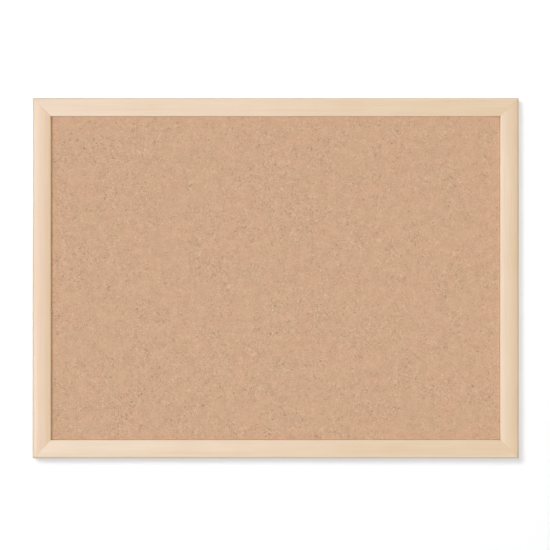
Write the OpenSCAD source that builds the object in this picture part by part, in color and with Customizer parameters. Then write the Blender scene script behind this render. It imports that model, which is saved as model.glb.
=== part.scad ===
// Framed cork bulletin board.
// A mitred moulding holds a cork-faced panel in its rebate, with hanging hardware on the back.
// +X is to the right and +Z is up as the cork is seen. The cork faces -Y and the wall is the plane y = 0.

/* [Board] */
// Width over the frame
board_w = 584; // [300:1:1200]
// Height over the frame
board_h = 433; // [300:1:900]

/* [Moulding] */
// Face width of the moulding
rail_w = 22.5; // [21.5:0.5:30]
// Depth of the moulding at its crown
rail_t = 15; // [13:0.5:18]
// Radius of the crowned face
crown_r = 50; // [30:1:120]
// Radius of the outer arris
outer_round = 3; // [1:0.5:4]
// Radius of the arris beside the cork
inner_round = 1.25; // [0.5:0.25:2.5]
// Reach of the rebate under the face
rebate_w = 8; // [5:0.5:8]
// Depth of the rebate from the back
rebate_t = 9; // [8:0.5:10]

/* [Panel] */
// Thickness of the cork sheet
cork_t = 2; // [1:0.25:2.5]
// Thickness of the fibreboard core
core_t = 5; // [3:0.5:5.25]
// Thickness of the kraft liner
liner_t = 0.4; // [0.2:0.1:0.6]
// Gap between the panel's edge and the rebate wall
panel_gap = 1; // [0.5:0.25:2]

/* [Retaining points] */
// Points on the top and on the bottom rail
points_long = 4; // [2:1:8]
// Points on each stile
points_short = 3; // [2:1:6]
// Width of a point
point_w = 6; // [4:0.5:8]
// Length of a point, tip to tail
point_len = 15; // [12:0.5:18]

/* [Hangers] */
// Height of the ring's hinge below the top of the frame
hanger_drop = 48; // [30:1:60]
// Width of the strap
strap_w = 9; // [8:0.5:9]
// Diameter of the ring's wire
wire_d = 1.6; // [1.2:0.1:1.6]
// Length of the hanger screw under its head
screw_len = 10; // [6:0.5:11]

/* [Bumpers] */
// Diameter of a bumper
bumper_d = 10; // [8:0.5:12]
// Thickness of a bumper, which stands the frame off the wall
bumper_t = 3; // [3:0.25:5]

/* [Hidden] */
$fn = 96;
eps = 0.01;

// Depths, measured along Y from the wall
back_y = -bumper_t;              // back face of the frame
ledge_y = back_y - rebate_t;     // face of the rebate that the cork lies against
core_y = ledge_y + cork_t;
liner_y = core_y + core_t;
point_y = liner_y + liner_t;

// Moulding
arris_lap = 0.001;               // added to an arris's radius, so that it crosses the faces it runs into

// Panel
solid_w = rail_w - rebate_w;     // width of the moulding behind the rebate
panel_w = board_w - 2 * (solid_w + panel_gap);
panel_h = board_h - 2 * (solid_w + panel_gap);

// Corner V-nails, two on each mitre
nail_t = 0.6;
nail_leg = 4;
nail_depth = 7;
nail_half_angle = 50;
nail_places = [3.25, 8.25];      // distance of each apex from both outer edges

// Retaining points
point_t = 0.5;
point_grip = 5;                  // length driven into the rebate wall
point_tip = 3;

// Strap hanger
sheet_t = 0.6;
wire_r = wire_d / 2;
eye_r = wire_r + 0.05;           // running clearance round the ring's bar
eye_outer_r = eye_r + sheet_t;
hanger_in = 7.5;                 // centre of the hanger from the outer edge of the stile
strap_len = 13;                  // eye centre to the end of the leaves
leaf_join = 3;                   // where the outer leaf comes down onto the inner one
screw_drop = 6.2;
hinge_x = board_w / 2 - hanger_in;
hinge_y = back_y + eye_outer_r;
hinge_z = board_h / 2 - hanger_drop;

// D-ring, along the wire's centreline
bar_half = strap_w / 2 + 0.2;
bend_r = 1.5;
arch_r = bar_half + bend_r;
arm_top = 4;
ring_gap = 0.05;                 // left between the raised ring and the wood it leans on
ring_lean = asin((eye_outer_r - wire_r - ring_gap) / (arm_top + arch_r));

// Hanger screw
head_r = 2.9;
head_t = 1.7;
head_dome_r = 4.5;
thread_r = 1.45;
core_r = 1;
neck_in_head = 0.3;              // how far the shank's outline runs up into the head
thread_pitch = 1.2;
screw_tip = 2;
hole_r = 1.6;                    // hole through the strap
pilot_clear = 0.02;
recess_w = 0.7;
recess_span = 3.4;
recess_t = 1;

// Bumpers
bumper_round = 1;
bumper_in = solid_w / 2;         // centre of a bumper from the bottom edge
bumper_side = 24;                // centre of a bumper from the side edge

// Quarter turns about Y that carry the bottom rail's place to each side, and one corner to the next
BOTTOM = 0;
LEFT = 1;
TOP = 2;
RIGHT = 3;
CORNERS = [[-1, -1], [-1, 1], [1, 1], [1, -1]];   // bottom left, top left, top right, bottom right

function side_length(side) = side % 2 == 0 ? board_w : board_h;
function side_reach(side) = side % 2 == 0 ? board_h / 2 : board_w / 2;
function side_points(side) = side % 2 == 0 ? points_long : points_short;

// Carries what is drawn on the bottom rail's outer edge (x along the rail, z inwards, y = 0 on the
// back face) to any side of the frame.
module at_side(side)
    rotate([0, 90 * side, 0])
        translate([0, back_y, -side_reach(side)])
            children();

// Carries what is drawn at the bottom left corner, with x and z inwards, to any corner.
module at_corner(corner)
    translate([CORNERS[corner].x * board_w / 2, back_y, CORNERS[corner].y * board_h / 2])
        rotate([0, 90 * corner, 0])
            children();

// ---- Frame ----

// What rounding an arris to radius r takes off the section, at its outer edge.
module arris_waste(r) {
    crown = [crown_r - rail_t, rail_w / 2];
    centre = [crown.x - sqrt(pow(crown_r - r, 2) - pow(crown.y - r, 2)), r];
    out = (centre - crown) / norm(centre - crown);
    difference() {
        polygon([centre, [centre.x, -1], [-rail_t - 1, -1], centre + out * (r + 1)]);
        translate(centre) circle(r + arris_lap);
    }
}

// Moulding section: x from the back face (0) to the crown (-rail_t), y from the outer edge inwards.
module moulding_section()
    difference() {
        intersection() {
            translate([-rail_t, 0]) square([rail_t, rail_w]);
            translate([crown_r - rail_t, rail_w / 2]) circle(crown_r, $fn = 360);
        }
        arris_waste(outer_round);
        translate([0, rail_w]) mirror([0, 1]) arris_waste(inner_round);
        translate([-rebate_t, solid_w]) square([rebate_t + 1, rebate_w + 1]);
    }

// One length of moulding, mitred at both ends, along X.
module mitred_length(length) {
    over = 1;
    inner = rail_w + over;
    intersection() {
        rotate([90, 0, 90]) linear_extrude(length + 2 * over, center = true) moulding_section();
        translate([0, over, 0]) rotate([90, 0, 0]) linear_extrude(rail_t + 2 * over)
            polygon([
                [-length / 2 - over, -over], [length / 2 + over, -over],
                [length / 2 - inner, inner], [-length / 2 + inner, inner]
            ]);
    }
}

// A member of the frame, slotted where its V-nails and points are driven in.
module frame_member(side)
    color("burlywood") difference() {
        at_side(side) mitred_length(side_length(side));
        v_nails(side);
        v_nails((side + 3) % 4);
        points(side);
        children();
    }

module top_rail() frame_member(TOP);
module bottom_rail() frame_member(BOTTOM);
module left_stile() frame_member(LEFT) pilot_hole(-1);
module right_stile() frame_member(RIGHT) pilot_hole(1);

// ---- Panel ----

module panel_layer(y, thickness)
    translate([-panel_w / 2, y, -panel_h / 2]) cube([panel_w, thickness, panel_h]);

module cork_sheet() color("tan") panel_layer(ledge_y, cork_t);
module fibreboard_core() color("peru") panel_layer(core_y, core_t);
module backing_liner() color("sienna") panel_layer(liner_y, liner_t);

// ---- Corner V-nails ----

// A V of strip steel driven in from the back, with its apex on the mitre and a leg in each member.
module v_nail()
    rotate([90, 0, 0]) linear_extrude(nail_depth)
        for (s = [-1, 1])
            rotate(45 + s * nail_half_angle)
                translate([0, s > 0 ? -nail_t : 0]) square([nail_leg, nail_t]);

module v_nails(corner)
    color("silver") at_corner(corner)
        for (place = nail_places) translate([place, 0, place]) v_nail();

// ---- Retaining points ----

// A flat steel point: its tip is in the rebate wall and its tail lies on the liner.
module point()
    translate([0, point_y + point_t - back_y, solid_w - point_grip]) rotate([90, 0, 0])
        linear_extrude(point_t)
            polygon([
                [0, 0], [point_w / 2, point_tip], [point_w / 2, point_len],
                [-point_w / 2, point_len], [-point_w / 2, point_tip]
            ]);

module points(side) {
    count = side_points(side);
    color("silver") at_side(side)
        for (i = [0:count - 1]) translate([((i + 0.5) / count - 0.5) * side_length(side), 0, 0]) point();
}

// ---- Hangers, drawn about the ring's hinge ----

module at_hinge(hand) translate([hand * hinge_x, hinge_y, hinge_z]) children();

// Strap folded round the ring's bar: x towards the wall, y up, the wood at x = -eye_outer_r.
module strap_section()
    difference() {
        union() {
            circle(eye_outer_r);
            polygon([
                [-eye_outer_r, 0], [-eye_outer_r, -strap_len], [sheet_t - eye_r, -strap_len],
                [sheet_t - eye_r, -leaf_join], [eye_outer_r, 0],
                [eye_r, 0], [-eye_r, -leaf_join], [-eye_r, 0]
            ]);
        }
        circle(eye_r);
    }

module strap_outline() {
    translate([0, strap_w / 2 - strap_len]) circle(strap_w / 2);
    translate([-strap_w / 2, strap_w / 2 - strap_len]) square([strap_w, strap_len]);
}

module hanger_strap(hand)
    color("gainsboro") at_hinge(hand) difference() {
        intersection() {
            rotate([90, 0, 90]) linear_extrude(strap_w + 1, center = true) strap_section();
            translate([0, 5, 0]) rotate([90, 0, 0]) linear_extrude(10) strap_outline();
        }
        translate([0, 0, -screw_drop]) rotate([90, 0, 0]) cylinder(r = hole_r, h = 10, center = true);
    }

// Wire bent through an angle on radius r, from the +X side towards +Z.
module bent_wire(r, angle)
    rotate([90, 0, 0]) rotate_extrude(angle = angle) translate([r, 0]) circle(wire_r);

// The ring is raised, as a wall hook holds it, and leans back on the stile.
module hanger_ring(hand)
    color("silver") at_hinge(hand) rotate([ring_lean, 0, 0]) {
        rotate([0, 90, 0]) cylinder(r = wire_r, h = 2 * bar_half, center = true);
        translate([0, 0, arm_top]) bent_wire(arch_r, 180);
        for (s = [0, 1]) mirror([s, 0, 0]) {
            translate([bar_half, 0, bend_r]) rotate([0, 90, 0]) bent_wire(bend_r, 90);
            translate([arch_r, 0, bend_r]) cylinder(r = wire_r, h = arm_top - bend_r);
        }
    }

// Pan-head wood screw about its axis: y = 0 is under the head and the tip is at -screw_len.
module screw_head()
    rotate_extrude() intersection() {
        square([head_r, head_t]);
        translate([0, head_t - head_dome_r]) circle(head_dome_r);
    }

module screw_shank() {
    ridges = floor((screw_len - screw_tip - 1) / thread_pitch);
    rotate_extrude() polygon([
        [0, neck_in_head], [thread_r, neck_in_head],
        for (i = [0:ridges - 1]) each [
            [thread_r, -1 - i * thread_pitch], [core_r, -1 - (i + 0.4) * thread_pitch],
            [core_r, -1 - (i + 0.7) * thread_pitch]
        ],
        [thread_r, -1 - ridges * thread_pitch], [core_r, screw_tip - screw_len], [0, -screw_len]
    ]);
}

module at_screw(hand)
    at_hinge(hand) translate([0, sheet_t - eye_r, -screw_drop]) rotate([-90, 0, 0]) children();

module hanger_screw(hand)
    color("silver") at_screw(hand) difference() {
        union() {
            screw_head();
            screw_shank();
        }
        for (a = [0, 90]) rotate(a)
            translate([-recess_span / 2, -recess_w / 2, head_t - recess_t])
                cube([recess_span, recess_w, recess_t + 1]);
    }

module pilot_hole(hand)
    at_screw(hand) translate([0, 0, -screw_len - eps])
        cylinder(r = thread_r + pilot_clear, h = screw_len);

// ---- Bumpers ----

module bumper_section()
    union() {
        square([bumper_d / 2 - bumper_round, bumper_t]);
        square([bumper_d / 2, bumper_t - bumper_round]);
        translate([bumper_d / 2 - bumper_round, bumper_t - bumper_round]) circle(bumper_round);
    }

module bumper(hand)
    color("dimgray")
        translate([hand * (board_w / 2 - bumper_side), back_y, bumper_in - board_h / 2])
            rotate([-90, 0, 0]) rotate_extrude() bumper_section();

top_rail();
bottom_rail();
left_stile();
right_stile();
cork_sheet();
fibreboard_core();
backing_liner();
v_nails(1);  // v_nails_top_left
v_nails(2);  // v_nails_top_right
v_nails(0);  // v_nails_bottom_left
v_nails(3);  // v_nails_bottom_right
points(TOP);  // points_top
points(BOTTOM);  // points_bottom
points(LEFT);  // points_left
points(RIGHT);  // points_right
hanger_strap(-1);  // hanger_strap_left
hanger_strap(1);  // hanger_strap_right
hanger_ring(-1);  // hanger_ring_left
hanger_ring(1);  // hanger_ring_right
hanger_screw(-1);  // hanger_screw_left
hanger_screw(1);  // hanger_screw_right
bumper(-1);  // bumper_left
bumper(1);  // bumper_right
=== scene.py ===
"""The looks of a framed cork bulletin board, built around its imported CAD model.

Metres throughout, in the model's own frame: +X is to the right and +Z is up as the cork is seen,
the cork faces -Y, and the wall is the plane y = 0.
"""

import math

import bmesh
import bpy
import numpy as np
from mathutils import Matrix, Vector


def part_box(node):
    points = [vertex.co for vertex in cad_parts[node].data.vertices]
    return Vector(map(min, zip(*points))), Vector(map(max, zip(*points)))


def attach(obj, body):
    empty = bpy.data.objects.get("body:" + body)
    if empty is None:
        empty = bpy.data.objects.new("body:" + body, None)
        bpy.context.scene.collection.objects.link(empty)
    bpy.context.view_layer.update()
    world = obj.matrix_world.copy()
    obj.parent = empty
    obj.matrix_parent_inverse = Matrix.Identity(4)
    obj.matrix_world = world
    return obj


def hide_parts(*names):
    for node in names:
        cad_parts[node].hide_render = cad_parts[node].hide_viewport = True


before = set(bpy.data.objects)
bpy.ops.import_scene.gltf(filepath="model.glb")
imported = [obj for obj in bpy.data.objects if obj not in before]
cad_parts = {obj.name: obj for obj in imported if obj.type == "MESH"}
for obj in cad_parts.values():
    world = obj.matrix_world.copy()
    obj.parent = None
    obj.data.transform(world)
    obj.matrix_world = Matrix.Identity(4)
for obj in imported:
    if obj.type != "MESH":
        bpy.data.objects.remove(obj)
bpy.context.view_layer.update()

MM = 0.001
BOARD = "board"
SIDES = {"left": -1, "right": 1}

# Outline of the frame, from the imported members
LOW = Vector((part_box("left_stile")[0].x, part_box("left_stile")[0].y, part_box("bottom_rail")[0].z))
HIGH = Vector((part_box("right_stile")[1].x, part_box("left_stile")[1].y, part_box("top_rail")[1].z))
RAIL_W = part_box("left_stile")[1].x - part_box("left_stile")[0].x
RAIL_T = HIGH.y - LOW.y
BACK_Y = HIGH.y
REBATE_W = 8 * MM
SOLID_W = RAIL_W - REBATE_W      # width of the moulding behind its rebate
REBATE_T = BACK_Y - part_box("cork_sheet")[0].y

# Moulding
CROWN_R = 50 * MM
OUTER_ROUND = 3 * MM
INNER_ROUND = 1.25 * MM
BACK_BREAK = 0.3 * MM            # sanded corner of the back
MITRE_BREAK = 0.2 * MM           # sanded arris that makes the mitre's hairline
WRAP, RAW, SIDE = range(3)       # a member's materials: lacquered face, bare board, flat outer side

# Panel
CORK_RELIEF = 0.28 * MM
CORK_CELL = 2.2 * MM
LINER_RELIEF = 0.12 * MM
LIP_FADE = 1.5 * MM              # reach over which the cork's relief grows from the frame's lips

# Camera: long lens, square-on
VIEW_WIDTH = 0.6608
LENS = 120
SENSOR = 36
CAMERA_X = -0.0007
CAMERA_Z = 0.0037

FLOOR_DROP = 1.2                 # from the board's centre to the floor

WELD = 1e-6                      # vertices nearer than this are one
CREASE = math.radians(28)        # a member's faces shade flat across edges sharper than this


# ---- Node materials ----

class Graph:
    """A material's node tree, built by calls that each return an output socket."""

    def __init__(self, name):
        self.material = bpy.data.materials.new(name)
        self.material.use_nodes = True
        self.tree = self.material.node_tree
        self.tree.nodes.clear()

    def node(self, kind, props=None, inputs=None):
        made = self.tree.nodes.new("ShaderNode" + kind)
        for key, value in (props or {}).items():
            setattr(made, key, value)
        for key, value in (inputs or {}).items():
            socket = made.inputs[key]
            if isinstance(value, bpy.types.NodeSocket):
                self.tree.links.new(value, socket)
            else:
                socket.default_value = value
        return made

    def place(self, scale=(1, 1, 1), offset=(0, 0, 0)):
        """Object coordinates in millimetres, scaled and shifted."""
        coords = self.node("TexCoord").outputs["Object"]
        factors = [s / MM for s in scale]
        return self.node("Mapping", None, {"Vector": coords, "Location": offset, "Scale": factors}).outputs[0]

    def noise(self, where, scale, detail=2.0, rough=0.5, distortion=0.0):
        made = self.node("TexNoise", None, {
            "Vector": where, "Scale": scale, "Detail": detail, "Roughness": rough, "Distortion": distortion})
        return made.outputs["Fac"]

    def cells(self, where, scale, feature="F1"):
        return self.node("TexVoronoi", {"feature": feature}, {"Vector": where, "Scale": scale})

    def math(self, kind, a, b=0.0, clamp=False):
        made = self.node("Math", {"operation": kind, "use_clamp": clamp})
        for socket, value in zip(made.inputs, (a, b)):
            if isinstance(value, bpy.types.NodeSocket):
                self.tree.links.new(value, socket)
            else:
                socket.default_value = value
        return made.outputs[0]

    def span(self, value, low, high, to_low=0.0, to_high=1.0):
        """value mapped from low..high to to_low..to_high, held at the ends."""
        inputs = {"Value": value, "From Min": low, "From Max": high, "To Min": to_low, "To Max": to_high}
        return self.node("MapRange", {"interpolation_type": "SMOOTHSTEP"}, inputs).outputs[0]

    def ramp(self, value, stops, smooth=False):
        made = self.node("ValToRGB", None, {"Fac": value})
        ramp = made.color_ramp
        ramp.interpolation = "EASE" if smooth else "LINEAR"
        while len(ramp.elements) < len(stops):
            ramp.elements.new(0.5)
        for element, (place, colour) in zip(ramp.elements, stops):
            element.position = place
            element.color = (*colour, 1)
        return made.outputs["Color"]

    def grey(self, value):
        return self.node("CombineColor", None, {"Red": value, "Green": value, "Blue": value}).outputs[0]

    def mix(self, share, a, b, blend="MIX"):
        made = self.node("Mix", {"data_type": "RGBA", "blend_type": blend})
        for key, value in ((0, share), (6, a), (7, b)):
            socket = made.inputs[key]
            if isinstance(value, bpy.types.NodeSocket):
                self.tree.links.new(value, socket)
            else:
                socket.default_value = (*value, 1) if isinstance(value, tuple) else value
        return made.outputs[2]

    def bump(self, height, depth, strength=1.0, under=None):
        """A bump whose full height is depth, in metres."""
        inputs = {"Height": height, "Distance": depth, "Strength": strength}
        if under is not None:
            inputs["Normal"] = under
        return self.node("Bump", None, inputs).outputs[0]

    def finish(self, **inputs):
        shader = self.node("BsdfPrincipled", None, {k.replace("_", " "): v for k, v in inputs.items()})
        output = self.node("OutputMaterial")
        self.tree.links.new(shader.outputs[0], output.inputs["Surface"])
        return self.material


def birch(name, along, seed, tint, lacquered=True):
    """Pale birch, under a satin lacquer or only sanded. along is the index of the axis that the grain
    follows, and tint scales
    the colour: partly that length of wood's own tone, and partly painted shade that offsets the lamps' sheen
    on it."""
    g = Graph(name)
    stretch = [1.0, 1.0, 1.0]
    stretch[along] = 0.02
    where = g.place(stretch, (seed, seed * 0.37, seed * 1.71))
    fibres = g.noise(where, 0.9, 4, 0.6, 0.2)
    figure = g.noise(where, 0.11, 3, 0.5, 0.6)
    cloud = g.noise(g.place((1, 1, 1), (seed * 2.3, 0, seed)), 0.018, 2, 0.5)
    tone = g.math("ADD", g.math("MULTIPLY", figure, 0.6), g.math("MULTIPLY", cloud, 0.4))
    colour = g.ramp(tone, [
        (0.30, (0.725, 0.555, 0.378)), (0.50, (0.700, 0.523, 0.345)), (0.70, (0.675, 0.488, 0.303))], True)
    colour = g.mix(1.0, colour, g.grey(g.span(fibres, 0.35, 0.7, 0.965, 1.02)), "MULTIPLY")
    colour = g.mix(1.0, colour, tint, "MULTIPLY")
    pores = g.span(g.noise(where, 3.2, 2, 0.7), 0.66, 0.78)
    colour = g.mix(g.math("MULTIPLY", pores, 0.22), colour, (0.52, 0.36, 0.22))
    fine = g.bump(fibres, 0.02 * MM)
    if not lacquered:
        rough = g.span(fibres, 0.3, 0.7, 0.72, 0.82)
        return g.finish(Base_Color=colour, Roughness=rough, Normal=fine, Specular_IOR_Level=0.1)
    rough = g.span(fibres, 0.3, 0.7, 0.32, 0.42)
    return g.finish(Base_Color=colour, Roughness=rough, Normal=fine, Coat_Weight=0.3, Coat_Roughness=0.28)


def raw_board(name, seed):
    """Sawn medium-density fibreboard: even brown with fine felted specks."""
    g = Graph(name)
    where = g.place((1, 1, 1), (seed, 0, 0))
    felt = g.noise(where, 2.4, 4, 0.7)
    cloud = g.noise(where, 0.08, 2, 0.5)
    colour = g.ramp(felt, [
        (0.3, (0.25, 0.155, 0.085)), (0.55, (0.40, 0.27, 0.16)), (0.75, (0.53, 0.38, 0.24))])
    colour = g.mix(g.span(cloud, 0.3, 0.7, 0, 0.3), colour, (0.33, 0.21, 0.12))
    return g.finish(Base_Color=colour, Roughness=0.85, Normal=g.bump(felt, 0.08 * MM))


def cork():
    """Fine agglomerated cork: ragged granules of two sizes, with a few dark bark specks, and painted shade in
    small voids between granules.
    """
    g = Graph("cork")
    still = g.place()
    pushed = still
    for scale, reach in ((0.7, 1.1), (2.2, 0.55), (6.0, 0.2)):
        wander = g.node("TexNoise", None, {
            "Vector": still, "Scale": scale, "Detail": 1.0, "Roughness": 0.5}).outputs["Color"]
        pushed = g.node("VectorMath", {"operation": "MULTIPLY_ADD"}, {
            0: wander, 1: (reach, reach, reach), 2: pushed}).outputs[0]

    def granules(scale):
        """Colour, three chances and edge distance of granules of one size."""
        chance = g.node("SeparateColor", None, {"Color": g.cells(pushed, scale).outputs["Color"]})
        tone = g.ramp(chance.outputs[0], [
            (0.0, (0.482, 0.294, 0.172)), (0.25, (0.529, 0.332, 0.200)),
            (0.75, (0.553, 0.357, 0.221)), (1.0, (0.597, 0.398, 0.256))])
        return tone, chance.outputs, g.cells(pushed, scale, "DISTANCE_TO_EDGE").outputs["Distance"]

    large, chance, seams = granules(0.5)
    small, small_chance, small_seams = granules(1.05)
    crushed = g.span(chance[2], 0.50, 0.52)     # large granules that are broken into small ones
    colour = g.mix(crushed, large, small)
    grain = g.noise(still, 3.0, 4, 0.7)
    bark = g.math("MAXIMUM", g.span(chance[1], 0.962, 0.978), g.math(
        "MULTIPLY", crushed, g.span(small_chance[1], 0.93, 0.95)))
    colour = g.mix(g.math("MULTIPLY", bark, 0.54), colour, (0.25, 0.13, 0.07))
    pale = g.math("MULTIPLY", g.span(small_chance[2], 0.93, 0.95), 0.42)
    colour = g.mix(pale, colour, (0.75, 0.55, 0.39))
    colour = g.mix(g.span(grain, 0.52, 0.72, 0.0, 0.27), colour, (0.36, 0.20, 0.115))
    colour = g.mix(g.span(grain, 0.46, 0.30, 0.0, 0.27), colour, (0.68, 0.48, 0.33))
    # Painted shade: along the open seams, the voids between granules are darkened as a shadow would darken
    # them.
    open_seams = g.span(g.noise(still, 0.9, 2, 0.5), 0.44, 0.60)
    painted_void_shade = g.math("MULTIPLY", open_seams, g.span(seams, 0.0, 0.16, 0.32, 0.0))
    colour = g.mix(painted_void_shade, colour, (0.27, 0.15, 0.085))
    calm = g.noise(g.place((1, 1, 1), (0, 0, 90)), 0.05, 3, 0.55)
    colour = g.mix(g.span(calm, 0.35, 0.65, 0.0, 0.52), colour, (0.549, 0.340, 0.2105))
    hue = g.span(g.noise(still, 0.035, 3, 0.55), 0.35, 0.65)
    colour = g.mix(1.0, colour, g.mix(hue, (0.998, 1.005, 1.004), (1.017, 0.987, 1.006)), "MULTIPLY")
    drift = g.noise(g.place((1, 1, 1), (60, 0, 20)), 0.09, 3, 0.6)
    colour = g.mix(1.0, colour, g.grey(g.span(drift, 0.3, 0.7, 0.955, 1.045)), "MULTIPLY")
    rise = g.math("ADD", g.span(seams, 0.0, 0.2), g.math("MULTIPLY", chance[0], 0.6))
    rise = g.math("ADD", rise, g.math("MULTIPLY", crushed, g.span(small_seams, 0.0, 0.2, -0.5, 0.0)))
    normal = g.bump(rise, 0.11 * MM)
    normal = g.bump(grain, 0.06 * MM, 1.0, normal)
    return g.finish(Base_Color=colour, Roughness=0.88, Normal=normal, Specular_IOR_Level=0.25)


def fibreboard():
    """Edge of the soft fibreboard core."""
    g = Graph("soft_fibreboard")
    felt = g.noise(g.place((0.5, 2.5, 0.5)), 1.6, 5, 0.75)
    colour = g.ramp(felt, [
        (0.3, (0.20, 0.125, 0.07)), (0.55, (0.36, 0.245, 0.145)), (0.8, (0.52, 0.39, 0.25))])
    return g.finish(Base_Color=colour, Roughness=0.95, Normal=g.bump(felt, 0.25 * MM))


def kraft_paper():
    """Unbleached kraft: short pulp fibres, a cloudy sheet formation and faint machine lines."""
    g = Graph("kraft_paper")
    still = g.place()
    cloud = g.noise(still, 0.16, 4, 0.6)
    machine = g.noise(g.place((1, 1, 0.02)), 0.9, 2, 0.5)
    fibres = g.noise(g.place((1, 1, 0.55), (31, 0, 7)), 3.4, 4, 0.75, 2.0)
    flecks = g.noise(g.place((1, 1, 0.4), (3, 0, 57)), 1.5, 3, 0.7, 2.5)
    colour = g.ramp(cloud, [(0.3, (0.405, 0.270, 0.158)), (0.7, (0.455, 0.312, 0.188))])
    colour = g.mix(g.span(machine, 0.35, 0.65, 0.0, 0.12), colour, (0.49, 0.345, 0.215))
    colour = g.mix(g.span(fibres, 0.52, 0.68, 0.0, 0.28), colour, (0.30, 0.19, 0.105))
    colour = g.mix(g.span(fibres, 0.42, 0.30, 0.0, 0.32), colour, (0.58, 0.43, 0.285))
    colour = g.mix(g.span(flecks, 0.74, 0.80, 0.0, 0.4), colour, (0.22, 0.13, 0.07))
    height = g.math("ADD", g.math("MULTIPLY", fibres, 0.6), g.math("MULTIPLY", cloud, 0.4))
    return g.finish(Base_Color=colour, Roughness=0.8, Normal=g.bump(height, 0.05 * MM))


def plated_steel(name, tint, rough, seed):
    """Nickel or zinc plate with fine draw lines and dull patches."""
    g = Graph(name)
    where = g.place((1, 1, 1), (seed, seed, 0))
    lines = g.noise(g.place((6, 1, 0.5), (seed, 0, 0)), 2.0, 3, 0.6)
    patches = g.noise(where, 0.45, 3, 0.6)
    colour = g.mix(g.span(patches, 0.35, 0.7, 0.0, 0.35), tint, tuple(0.72 * c for c in tint))
    dull = g.span(patches, 0.3, 0.7, rough - 0.06, rough + 0.1)
    dull = g.math("ADD", dull, g.math("MULTIPLY", lines, 0.06))
    return g.finish(Base_Color=colour, Metallic=1.0, Roughness=dull, Normal=g.bump(lines, 0.01 * MM))


def rubber():
    """Moulded dark grey rubber with a fine spark-eroded skin and a little dust."""
    g = Graph("moulded_rubber")
    still = g.place()
    skin = g.noise(still, 5.0, 3, 0.6)
    dust = g.span(g.noise(still, 0.6, 4, 0.7), 0.5, 0.75, 0.0, 0.35)
    colour = g.mix(dust, (0.042, 0.042, 0.044), (0.12, 0.115, 0.108))
    rough = g.span(skin, 0.3, 0.7, 0.62, 0.78)
    normal = g.bump(skin, 0.03 * MM)
    return g.finish(Base_Color=colour, Roughness=rough, Normal=normal, Specular_IOR_Level=0.4)


# ---- Mesh helpers ----

def piece(name, vertices, faces, materials, body=BOARD, indices=None, sharp=math.radians(35)):
    """A mesh piece on a body, smooth except across edges sharper than the given angle."""
    mesh = bpy.data.meshes.new(name)
    mesh.from_pydata([tuple(v) for v in vertices], [], [tuple(f) for f in faces])
    for material in materials:
        mesh.materials.append(material)
    if indices is not None:
        mesh.polygons.foreach_set("material_index", indices)
    shape = bmesh.new()
    shape.from_mesh(mesh)
    bmesh.ops.recalc_face_normals(shape, faces=shape.faces)
    shape.to_mesh(mesh)
    shape.free()
    mesh.shade_smooth()
    mesh.set_sharp_from_angle(angle=sharp)
    made = bpy.data.objects.new(name, mesh)
    bpy.context.scene.collection.objects.link(made)
    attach(made, body)
    return made


def stands_for(made, node):
    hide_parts(node)
    return made


def welded(node):
    """A copy of a CAD node's mesh with its seams merged and its flat faces whole."""
    shape = bmesh.new()
    shape.from_mesh(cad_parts[node].data)
    bmesh.ops.remove_doubles(shape, verts=shape.verts, dist=WELD)
    bmesh.ops.dissolve_limit(shape, angle_limit=math.radians(1), verts=shape.verts, edges=shape.edges)
    return shape


def refined(node, name, material, edge_break, body=BOARD, turn=math.radians(40)):
    """A CAD node's own shape with its sheared or moulded edges broken."""
    shape = welded(node)
    edges = [e for e in shape.edges if e.is_manifold and e.calc_face_angle() > turn]
    bmesh.ops.bevel(shape, geom=edges, offset=edge_break, segments=2, profile=0.6, affect="EDGES",
                    clamp_overlap=True)
    shape.verts.ensure_lookup_table()
    vertices = [v.co.copy() for v in shape.verts]
    faces = [[v.index for v in f.verts] for f in shape.faces]
    shape.free()
    return stands_for(piece(name, vertices, faces, [material], body), node)


def arc(centre, radius, start, end, steps):
    """Points of an arc, where an angle of 0 points to +Y of the outline and pi/2 to +X."""
    for i in range(steps + 1):
        angle = start + (end - start) * i / steps
        yield (centre[0] + radius * math.sin(angle), centre[1] + radius * math.cos(angle))


# ---- Frame ----

def moulding_outline():
    """The moulding's section as (distance from the outer edge, depth from the back), and the material of the
    stretch that each point starts."""
    mid = RAIL_W / 2
    crown = (mid, RAIL_T - CROWN_R)

    def arris(side, radius):
        offset = mid - radius
        return (mid + side * offset, crown[1] + math.sqrt((CROWN_R - radius) ** 2 - offset ** 2))

    outer = arris(-1, OUTER_ROUND)
    inner = arris(1, INNER_ROUND)
    lean_outer = math.atan2(outer[0] - crown[0], outer[1] - crown[1])
    lean_inner = math.atan2(inner[0] - crown[0], inner[1] - crown[1])
    half = math.pi / 2
    face = [(0, BACK_BREAK)]
    face += arc(outer, OUTER_ROUND, -half, lean_outer, 10)
    face += list(arc(crown, CROWN_R, lean_outer, lean_inner, 24))[1:]
    face += list(arc(inner, INNER_ROUND, lean_inner, half, 8))[1:]
    behind = [
        (RAIL_W, REBATE_T + BACK_BREAK / 2), (RAIL_W - BACK_BREAK / 2, REBATE_T), (SOLID_W, REBATE_T),
        (SOLID_W, BACK_BREAK / 2), (SOLID_W - BACK_BREAK / 2, 0), (BACK_BREAK, 0)]
    return face + behind, [SIDE] + [WRAP] * (len(face) - 1) + [RAW] * len(behind)


def inset(outline, amount):
    """The outline moved inwards along its corners' normals."""
    points = np.array(outline)

    def unit(steps):
        return steps / np.linalg.norm(steps, axis=1)[:, None]

    tangent = unit(unit(np.roll(points, -1, 0) - points) + unit(points - np.roll(points, 1, 0)))
    return points + amount * np.stack([tangent[:, 1], -tangent[:, 0]], 1)


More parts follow.
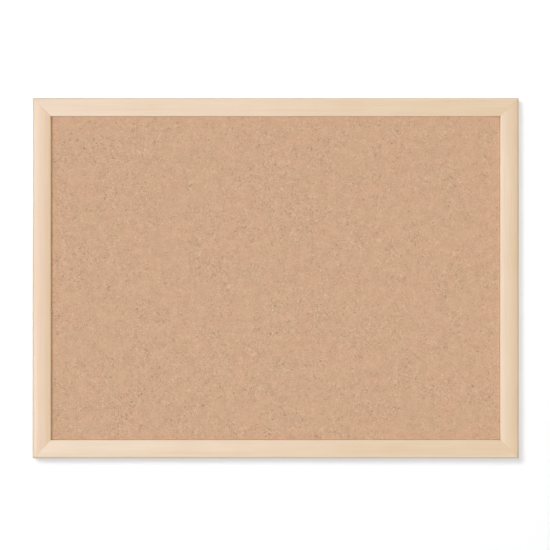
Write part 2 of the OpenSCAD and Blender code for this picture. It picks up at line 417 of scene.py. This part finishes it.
def member(node, side, materials):
    """One mitred member. side is its number of quarter turns from the bottom rail: 1 is the left stile."""
    outline, parts = moulding_outline()
    length = (HIGH.x - LOW.x) if side % 2 == 0 else (HIGH.z - LOW.z)
    reach = (HIGH.z - LOW.z) / 2 if side % 2 == 0 else (HIGH.x - LOW.x) / 2
    plain = np.array(outline)
    broken = inset(outline, MITRE_BREAK)
    turn = Matrix.Rotation(math.pi / 2 * side, 4, "Y")
    centre = Vector(((LOW.x + HIGH.x) / 2, 0, (LOW.z + HIGH.z) / 2))
    stations = [(broken, 0.0), (plain, MITRE_BREAK), (plain, 20 * MM), (plain, 80 * MM)]
    vertices = []
    for end in (-1, 1):
        for section, back_off in stations[::-end]:
            for u, depth in section:
                x = end * (length / 2 - u - back_off)
                vertices.append(centre + turn @ Vector((x, BACK_Y - depth, u - reach)))
    count = len(outline)
    rings = len(vertices) // count
    faces = []
    indices = []
    for ring in range(rings - 1):
        for i in range(count):
            j = (i + 1) % count
            a, b = ring * count, (ring + 1) * count
            faces.append((a + i, a + j, b + j, b + i))
            indices.append(parts[i])
    faces.append(tuple(range(count)))
    faces.append(tuple(range((rings - 1) * count, rings * count)))
    indices += [RAW, RAW]
    made = piece(node + "_wood", vertices, faces, materials, indices=indices, sharp=CREASE)
    return stands_for(made, node)


def cut_slots(made, nodes):
    """Cuts the seats of the nails and points that are driven into a member."""
    for node in nodes:
        shape = welded(node)
        for face in shape.faces:
            face.material_index = RAW
        mesh = bpy.data.meshes.new("cutter")
        shape.to_mesh(mesh)
        shape.free()
        for material in made.data.materials:
            mesh.materials.append(material)
        cutter = bpy.data.objects.new("cutter", mesh)
        bpy.context.scene.collection.objects.link(cutter)
        cut = made.modifiers.new("seat", "BOOLEAN")
        cut.object = cutter
        cut.solver = "MANIFOLD"
        bpy.context.view_layer.update()
        evaluated = made.evaluated_get(bpy.context.evaluated_depsgraph_get())
        solid = bpy.data.meshes.new_from_object(evaluated)
        made.modifiers.clear()
        made.data = solid
        bpy.data.objects.remove(cutter)
    shape = bmesh.new()
    shape.from_mesh(made.data)
    bmesh.ops.dissolve_degenerate(shape, dist=WELD, edges=shape.edges)
    shape.to_mesh(made.data)
    shape.free()
    made.data.set_sharp_from_angle(angle=CREASE)


def build_frame():
    # Tints: partly each member's own tone, and partly painted shade. The left stile's tint is the darkest and
    # offsets the sheen of the lamps on the left.
    members = [
        ("bottom_rail", 0, ("bottom_left", "bottom_right"), "bottom", (0.955, 0.965, 0.945)),
        ("left_stile", 1, ("bottom_left", "top_left"), "left", (0.905, 0.853, 0.77)),
        ("top_rail", 2, ("top_left", "top_right"), "top", (0.95, 0.95, 0.92)),
        ("right_stile", 3, ("top_right", "bottom_right"), "right", (0.975, 0.98, 0.98)),
    ]
    for node, side, corners, points, tint in members:
        along = 0 if side % 2 == 0 else 2
        seed = 13.0 + 41.0 * side
        made = member(node, side, [
            birch("birch_" + node, along, seed, tint), raw_board("raw_" + node, 7.0 * side),
            birch("birch_side_" + node, along, seed, tint, lacquered=False)])
        cut_slots(made, ["v_nails_" + corner for corner in corners] + ["points_" + points])


# ---- Panel ----

def relief(shape, spread, seed):
    """Smooth random heights from 0 to 1 on a grid; spread is the size of a swell in grid steps."""
    random = np.random.default_rng(seed)
    field = random.standard_normal(shape)
    freqs = np.hypot(*np.meshgrid(np.fft.fftfreq(shape[1]), np.fft.fftfreq(shape[0])))
    field = np.fft.ifft2(np.fft.fft2(field) * np.exp(-(freqs * spread * math.pi) ** 2)).real
    return np.clip((field - field.mean()) / (6 * field.std()) + 0.5, 0, 1)


def slab(node, cell, front_depth, back_depth, name, material, edge_wander=0.0):
    """A sheet in the place of a CAD node. front_depth and back_depth take a grid's x and z and give how far
    each point of that face sinks into the sheet. edge_wander is how far the edges wander inwards."""
    low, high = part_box(node)
    nx, nz = (max(2, round((high[k] - low[k]) / cell)) for k in (0, 2))
    xs, zs = np.linspace(low.x, high.x, nx + 1), np.linspace(low.z, high.z, nz + 1)
    grid_x, grid_z = np.meshgrid(xs, zs)
    rim = np.ones_like(grid_x)
    rim[1:-1, 1:-1] = 0
    wander = edge_wander * rim * relief(grid_x.shape, 2, 5)
    grid_x = grid_x - np.sign(grid_x) * wander * (np.abs(grid_x) > high.x - cell / 2)
    grid_z = grid_z - np.sign(grid_z) * wander * (np.abs(grid_z) > high.z - cell / 2)
    front = low.y + front_depth(grid_x, grid_z)
    back = high.y - back_depth(grid_x, grid_z)
    points = np.concatenate([np.stack([grid_x, y, grid_z], -1).reshape(-1, 3) for y in (front, back)])
    count = grid_x.size
    corner = np.arange(count).reshape(grid_x.shape)
    a, b, c, d = (corner[s] for s in (
        (slice(None, -1), slice(None, -1)), (slice(None, -1), slice(1, None)),
        (slice(1, None), slice(1, None)), (slice(1, None), slice(None, -1))))
    quads = np.stack([a, b, c, d], -1).reshape(-1, 4)
    border = np.concatenate([corner[0, :], corner[1:, -1], corner[-1, -2::-1], corner[-2:0:-1, 0]])
    nxt = np.roll(border, -1)
    sides = np.stack([border, border + count, nxt + count, nxt], -1)
    faces = np.concatenate([quads, quads[:, ::-1] + count, sides])
    return stands_for(piece(name, points, faces.tolist(), [material]), node)


def build_panel():
    def open_cork(x, z):
        """1 where the cork shows, 0 where the frame's lips press on it."""
        from_lip = np.minimum(HIGH.x - RAIL_W - np.abs(x), HIGH.z - RAIL_W - np.abs(z))
        return np.clip(from_lip / LIP_FADE, 0, 1)

    def cork_face(x, z):
        grain = 0.55 * relief(x.shape, 1.3, 11) + 0.45 * relief(x.shape, 6, 12)
        return CORK_RELIEF * (0.15 + grain) * open_cork(x, z)

    def liner_back(x, z):
        return LINER_RELIEF * relief(x.shape, 9, 21)

    def level(x, z):
        return np.zeros_like(x)

    slab("cork_sheet", CORK_CELL, cork_face, level, "cork_face", cork())
    slab("fibreboard_core", 4 * MM, level, level, "fibreboard_panel", fibreboard(), 0.35 * MM)
    slab("backing_liner", 4 * MM, level, liner_back, "kraft_backing", kraft_paper(), 0.25 * MM)


# ---- Hardware ----

def build_fixings():
    zinc = plated_steel("zinc_plate", (0.56, 0.57, 0.58), 0.38, 3.0)
    for corner in ("top_left", "top_right", "bottom_left", "bottom_right"):
        refined("v_nails_" + corner, "corner_nails_" + corner, zinc, 0.05 * MM)
    for side in ("top", "bottom", "left", "right"):
        refined("points_" + side, "glazing_points_" + side, zinc, 0.08 * MM)


def build_hangers():
    nickel = plated_steel("nickel_plate", (0.70, 0.68, 0.64), 0.24, 17.0)
    screw = plated_steel("screw_plate", (0.66, 0.66, 0.65), 0.28, 29.0)
    for side in SIDES:
        refined("hanger_strap_" + side, "strap_" + side, nickel, 0.12 * MM)
        refined("hanger_screw_" + side, "screw_" + side, screw, 0.06 * MM)
        refined("hanger_ring_" + side, "ring_" + side, nickel, 0.01 * MM, side + "_ring",
                math.radians(60))


def lathe(profile, centre, segments):
    """Vertices and faces of a profile of (radius, height along +Y) turned about an axis along Y."""
    vertices = []
    for radius, height in profile:
        for k in range(segments):
            angle = math.tau * k / segments
            vertices.append(centre + Vector((radius * math.cos(angle), height, radius * math.sin(angle))))
    faces = []
    for row in range(len(profile) - 1):
        for k in range(segments):
            j = (k + 1) % segments
            a, b = row * segments, (row + 1) * segments
            faces.append((a + k, b + k, b + j, a + j))
    faces.append(tuple(range(segments)))
    faces.append(tuple(range((len(profile) - 1) * segments, len(profile) * segments)))
    return vertices, faces


def build_bumpers():
    material = rubber()
    for side in SIDES:
        low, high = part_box("bumper_" + side)
        radius, height = (high.x - low.x) / 2, high.y - low.y
        round_r = 1.0 * MM
        skirt = 0.25 * MM
        profile = [(radius - 0.2 * MM, 0), (radius - 0.2 * MM, skirt), (radius, skirt + 0.1 * MM)]
        profile += arc((radius - round_r, height - round_r), round_r, math.pi / 2, 0, 8)
        profile += [(radius - 2.0 * MM, height), (radius - 2.4 * MM, height - 0.15 * MM),
                    (radius - 3.5 * MM, height - 0.2 * MM)]
        centre = Vector(((low.x + high.x) / 2, low.y, (low.z + high.z) / 2))
        vertices, faces = lathe(profile, centre, 64)
        stands_for(piece("rubber_bumper_" + side, vertices, faces, [material]), "bumper_" + side)


# ---- Stage ----

def one_sided(g, shader):
    """Lets rear views look through the wall at the back of the board."""
    clear = g.node("BsdfTransparent").outputs[0]
    behind = g.node("NewGeometry").outputs["Backfacing"]
    mixed = g.node("MixShader", None, {0: behind, 1: shader, 2: clear}).outputs[0]
    output = g.node("OutputMaterial")
    g.tree.links.new(mixed, output.inputs["Surface"])
    return g.material


def wall_paint():
    g = Graph("white_wall")
    mottle = g.noise(g.place(), 0.02, 3, 0.5)
    colour = g.mix(mottle, (0.79, 0.79, 0.79), (0.81, 0.81, 0.81))
    return one_sided(g, g.node("BsdfDiffuse", None, {"Color": colour}).outputs[0])


def floor_paint():
    g = Graph("pale_floor")
    mottle = g.noise(g.place(), 0.01, 3, 0.5)
    colour = g.mix(mottle, (0.80, 0.80, 0.79), (0.84, 0.84, 0.83))
    return g.finish(Base_Color=colour, Roughness=0.7, Emission_Color=colour, Emission_Strength=0.75)


def plane(name, corners, material):
    mesh = bpy.data.meshes.new(name)
    mesh.from_pydata(corners, [], [(0, 1, 2, 3)])
    mesh.materials.append(material)
    made = bpy.data.objects.new(name, mesh)
    bpy.context.scene.collection.objects.link(made)
    return made


def build_stage():
    wall_y = 0.2 * MM                # clear of the bumpers, which rest on the plane y = 0
    half = 2.5
    wall = plane("wall", [
        (-half, wall_y, -FLOOR_DROP), (half, wall_y, -FLOOR_DROP),
        (half, wall_y, half), (-half, wall_y, half)], wall_paint())
    wall.visible_shadow = False
    wall.visible_diffuse = False
    wall.visible_glossy = False
    reach = 30.0
    floor = plane("floor", [
        (-reach, -reach, -FLOOR_DROP), (reach, -reach, -FLOOR_DROP),
        (reach, reach, -FLOOR_DROP), (-reach, reach, -FLOOR_DROP)], floor_paint())
    floor.visible_diffuse = False
    floor.visible_glossy = False
    return wall


def build_world():
    world = bpy.data.worlds.new("studio")
    bpy.context.scene.world = world
    world.use_nodes = True
    tree = world.node_tree
    tree.nodes.clear()
    seen = tree.nodes.new("ShaderNodeLightPath")
    strength = tree.nodes.new("ShaderNodeMapRange")
    strength.inputs["To Min"].default_value = 0.16
    strength.inputs["To Max"].default_value = 1.0
    background = tree.nodes.new("ShaderNodeBackground")
    background.inputs["Color"].default_value = (1, 1, 1, 1)
    output = tree.nodes.new("ShaderNodeOutputWorld")
    tree.links.new(seen.outputs["Is Camera Ray"], strength.inputs["Value"])
    tree.links.new(strength.outputs[0], background.inputs["Strength"])
    tree.links.new(background.outputs[0], output.inputs["Surface"])


def softbox(name, place, size, power, colour=(1, 1, 1), target=(0, 0, 0)):
    data = bpy.data.lights.new(name, "AREA")
    data.shape = "RECTANGLE"
    data.size, data.size_y = size
    data.energy = power
    data.color = colour
    made = bpy.data.objects.new(name, data)
    made.location = place
    made.rotation_euler = (Vector(target) - Vector(place)).to_track_quat("-Z", "Y").to_euler()
    made.visible_camera = False
    bpy.context.scene.collection.objects.link(made)
    return made


def sun(name, energy, colour, angle, azimuth, elevation=0.0):
    """Parallel light from azimuth degrees left of the camera's axis."""
    data = bpy.data.lights.new(name, "SUN")
    data.energy = energy
    data.color = colour
    data.angle = math.radians(angle)
    made = bpy.data.objects.new(name, data)
    made.rotation_euler = (math.radians(90 - elevation), 0, math.radians(-azimuth))
    made.visible_glossy = False
    bpy.context.scene.collection.objects.link(made)
    return made


def light_only(light, receiver, only=True):
    """Makes a light reach one object only, or everything but that object."""
    linked = bpy.data.collections.new(light.name + "_receivers")
    linked.objects.link(receiver)
    linked.collection_objects[0].light_linking.link_state = "INCLUDE" if only else "EXCLUDE"
    light.light_linking.receiver_collection = linked


def build_lights(wall):
    # A harder light from the left draws the left lip's narrow shadow on the cork. The wall has its own
    # lights: they are neutral, and the key is softer and from above as well, for the board's shadow.
    light_only(sun("frontal", 2.2, (1.0, 0.97, 0.913), 1.5, 0), wall, only=False)
    light_only(sun("left", 1.33, (0.845, 0.90, 1.0), 4.0, 22.5), wall, only=False)
    light_only(sun("wall_fill", 2.2, (1, 1, 1), 1.5, 0), wall)
    light_only(softbox("wall_key", (-0.96, -2.4, 0.96), (1.06, 1.06), 45.0), wall)
    # Strips that show in the gloss only, as the sheen along the crowns and on the outer edges
    for name, place, size, power, colour in (
            ("sheen_edge", (-1.32, -1.88, 0.0), (0.45, 2.6), 34.0, (0.60, 0.76, 1.0)),
            ("sheen_outer", (-0.78, -1.88, 0.0), (0.6, 2.6), 11.0, (0.48, 0.61, 1.0)),
            ("sheen_inner", (-0.30, -1.88, 0.0), (1.2, 2.6), 24.0, (0.48, 0.61, 1.0)),
            ("sheen_top", (0.0, -1.88, 1.55), (2.6, 0.7), 11.0, (0.48, 0.61, 1.0)),
            ("left_rim", (-2.0, -0.75, 0.0), (0.5, 1.6), 30.0, (0.82, 0.9, 1.0)),
            ("top_rim", (0.0, -0.8, 1.5), (1.6, 0.7), 16.0, (0.6, 0.75, 1.0)),
            ("bottom_rim", (0.0, -0.55, -1.0), (1.6, 0.4), 9.0, (0.68, 0.72, 1.0))):
        strip = softbox(name, place, size, power, colour)
        strip.visible_diffuse = False
    # Behind the wall's plane, for the back, the sides and the top
    softbox("rear_left", (1.3, 1.7, 0.9), (0.9, 0.9), 36.0)
    softbox("rear_right", (-1.5, 1.5, 0.5), (0.8, 0.8), 19.0)
    softbox("overhead", (0.0, 0.55, 1.7), (1.4, 0.6), 9.0)


def build_camera():
    data = bpy.data.cameras.new("camera")
    data.lens = LENS
    data.sensor_width = SENSOR
    data.dof.use_dof = False
    made = bpy.data.objects.new("camera", data)
    distance = VIEW_WIDTH * LENS / SENSOR
    made.location = (CAMERA_X, LOW.y + OUTER_ROUND - distance, CAMERA_Z)
    made.rotation_euler = (math.radians(90), 0, 0)
    bpy.context.scene.collection.objects.link(made)
    bpy.context.scene.camera = made


build_camera()
build_frame()
build_panel()
build_fixings()
build_hangers()
build_bumpers()
wall = build_stage()
build_world()
build_lights(wall)
bpy.context.scene.view_settings.view_transform = "Standard"
